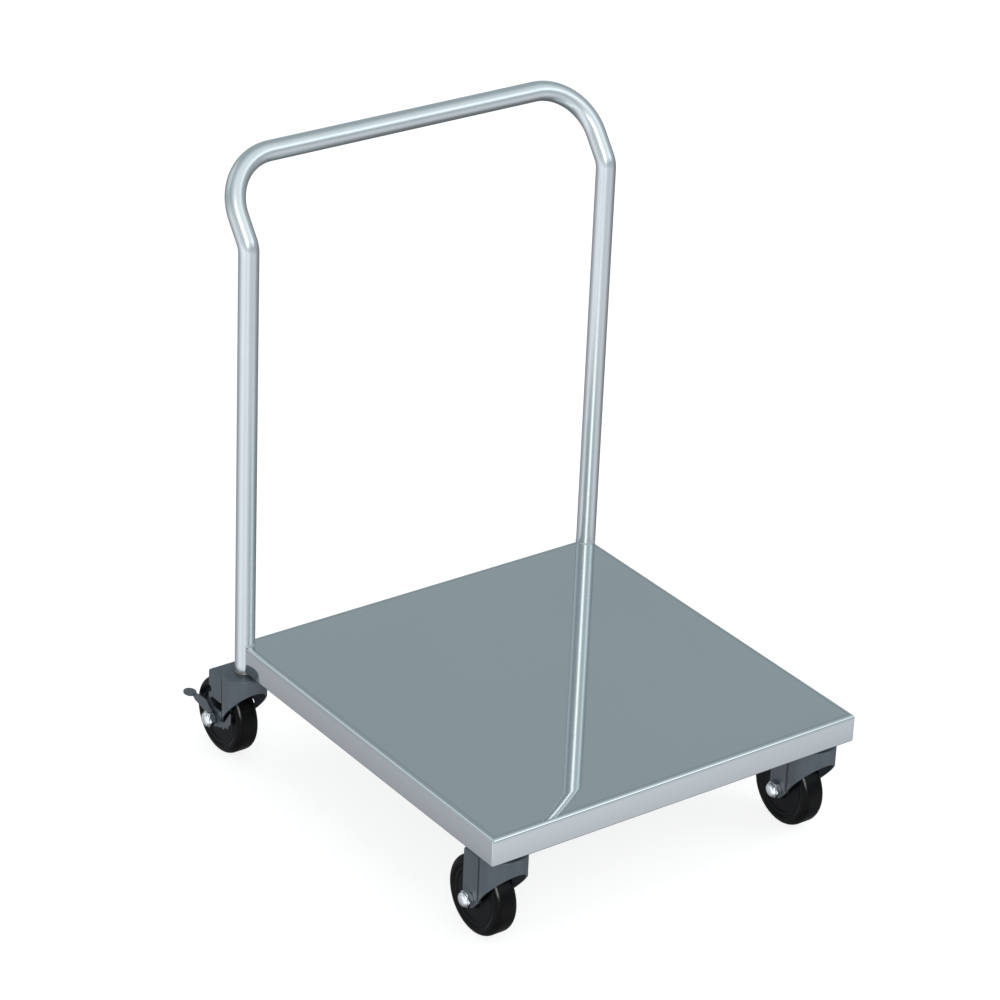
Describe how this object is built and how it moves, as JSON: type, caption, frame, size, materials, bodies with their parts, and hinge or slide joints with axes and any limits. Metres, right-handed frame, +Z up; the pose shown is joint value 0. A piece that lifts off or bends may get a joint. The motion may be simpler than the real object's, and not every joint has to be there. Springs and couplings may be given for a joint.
{
  "type": "platform trolley",
  "caption": "Stainless platform trolley: folded sheet deck with a skirt, bent tube push handle at the back, swivel castors and foot brakes at the rear.",
  "frame": {"origin": "on the floor under the middle of the whole box", "axes": "+X to the right seen from the front, +Y towards the push handle, +Z up"},
  "size_m": [0.5938, 0.633, 0.7928],
  "materials": {
    "deck_steel": "polished stainless sheet",
    "tube_steel": "polished stainless tube",
    "zinc_steel": "zinc plated",
    "bolt_chrome": "bright domed fastener",
    "fork_grey": "slate grey, satin",
    "core_black": "black moulded core",
    "tyre_black": "black, slightly glossy tread"
  },
  "bodies": {
    "root": {"deck_tray": "deck_steel", "deck_stiffener_front": "deck_steel", "deck_stiffener_rear": "deck_steel", "gusset_front_left": "deck_steel", "gusset_front_right": "deck_steel", "gusset_rear_left": "deck_steel", "gusset_rear_right": "deck_steel", "socket_front_left": "tube_steel", "socket_front_right": "tube_steel", "post_left": "tube_steel", "post_right": "tube_steel", "handle_bow": "tube_steel", "insert_front_left": "zinc_steel", "stem_front_left": "zinc_steel", "lower_race_front_left": "zinc_steel", "insert_front_right": "zinc_steel", "stem_front_right": "zinc_steel", "lower_race_front_right": "zinc_steel", "insert_rear_left": "zinc_steel", "stem_rear_left": "zinc_steel", "lower_race_rear_left": "zinc_steel", "insert_rear_right": "zinc_steel", "stem_rear_right": "zinc_steel", "lower_race_rear_right": "zinc_steel"},
    "swivel_front_left": {"fork_front_left": "fork_grey", "ball_race_front_left": "zinc_steel", "axle_sleeve_front_left": "zinc_steel", "axle_bolt_front_left": "bolt_chrome", "axle_nut_front_left": "bolt_chrome"},
    "wheel_front_left": {"wheel_core_front_left": "core_black", "tyre_front_left": "tyre_black"},
    "swivel_front_right": {"fork_front_right": "fork_grey", "ball_race_front_right": "zinc_steel", "axle_sleeve_front_right": "zinc_steel", "axle_bolt_front_right": "bolt_chrome", "axle_nut_front_right": "bolt_chrome"},
    "wheel_front_right": {"wheel_core_front_right": "core_black", "tyre_front_right": "tyre_black"},
    "swivel_rear_left": {"fork_rear_left": "fork_grey", "ball_race_rear_left": "zinc_steel", "axle_sleeve_rear_left": "zinc_steel", "axle_bolt_rear_left": "bolt_chrome", "axle_nut_rear_left": "bolt_chrome", "lock_plate_rear_left": "fork_grey"},
    "wheel_rear_left": {"wheel_core_rear_left": "core_black", "tyre_rear_left": "tyre_black"},
    "brake_rear_left": {"brake_pedal_rear_left": "fork_grey"},
    "swivel_rear_right": {"fork_rear_right": "fork_grey", "ball_race_rear_right": "zinc_steel", "axle_sleeve_rear_right": "zinc_steel", "axle_bolt_rear_right": "bolt_chrome", "axle_nut_rear_right": "bolt_chrome", "lock_plate_rear_right": "fork_grey"},
    "wheel_rear_right": {"wheel_core_rear_right": "core_black", "tyre_rear_right": "tyre_black"},
    "brake_rear_right": {"brake_pedal_rear_right": "fork_grey"}
  },
  "joints": [
    {"name": "swivel_front_left", "type": "hinge", "parent": "root", "child": "swivel_front_left", "pos_m": [-0.2295, -0.288, 0.1144], "axis": [0, 0, 1], "continuous": true},
    {"name": "roll_front_left", "type": "hinge", "parent": "swivel_front_left", "child": "wheel_front_left", "pos_m": [-0.2295, -0.25, 0.05], "axis": [1, 0, 0], "continuous": true},
    {"name": "swivel_front_right", "type": "hinge", "parent": "root", "child": "swivel_front_right", "pos_m": [0.2295, -0.288, 0.1144], "axis": [0, 0, 1], "continuous": true},
    {"name": "roll_front_right", "type": "hinge", "parent": "swivel_front_right", "child": "wheel_front_right", "pos_m": [0.2295, -0.25, 0.05], "axis": [1, 0, 0], "continuous": true},
    {"name": "swivel_rear_left", "type": "hinge", "parent": "root", "child": "swivel_rear_left", "pos_m": [-0.261, 0.2185, 0.1144], "axis": [0, 0, 1], "continuous": true},
    {"name": "roll_rear_left", "type": "hinge", "parent": "swivel_rear_left", "child": "wheel_rear_left", "pos_m": [-0.261, 0.2565, 0.05], "axis": [1, 0, 0], "continuous": true},
    {"name": "brake_rear_left", "type": "hinge", "parent": "swivel_rear_left", "child": "brake_rear_left", "pos_m": [-0.261, 0.2565, 0.05], "axis": [1, 0, 0], "range_deg": [-18, 0]},
    {"name": "swivel_rear_right", "type": "hinge", "parent": "root", "child": "swivel_rear_right", "pos_m": [0.261, 0.2185, 0.1144], "axis": [0, 0, 1], "continuous": true},
    {"name": "roll_rear_right", "type": "hinge", "parent": "swivel_rear_right", "child": "wheel_rear_right", "pos_m": [0.261, 0.2565, 0.05], "axis": [1, 0, 0], "continuous": true},
    {"name": "brake_rear_right", "type": "hinge", "parent": "swivel_rear_right", "child": "brake_rear_right", "pos_m": [0.261, 0.2565, 0.05], "axis": [1, 0, 0], "range_deg": [-18, 0]}
  ]
}
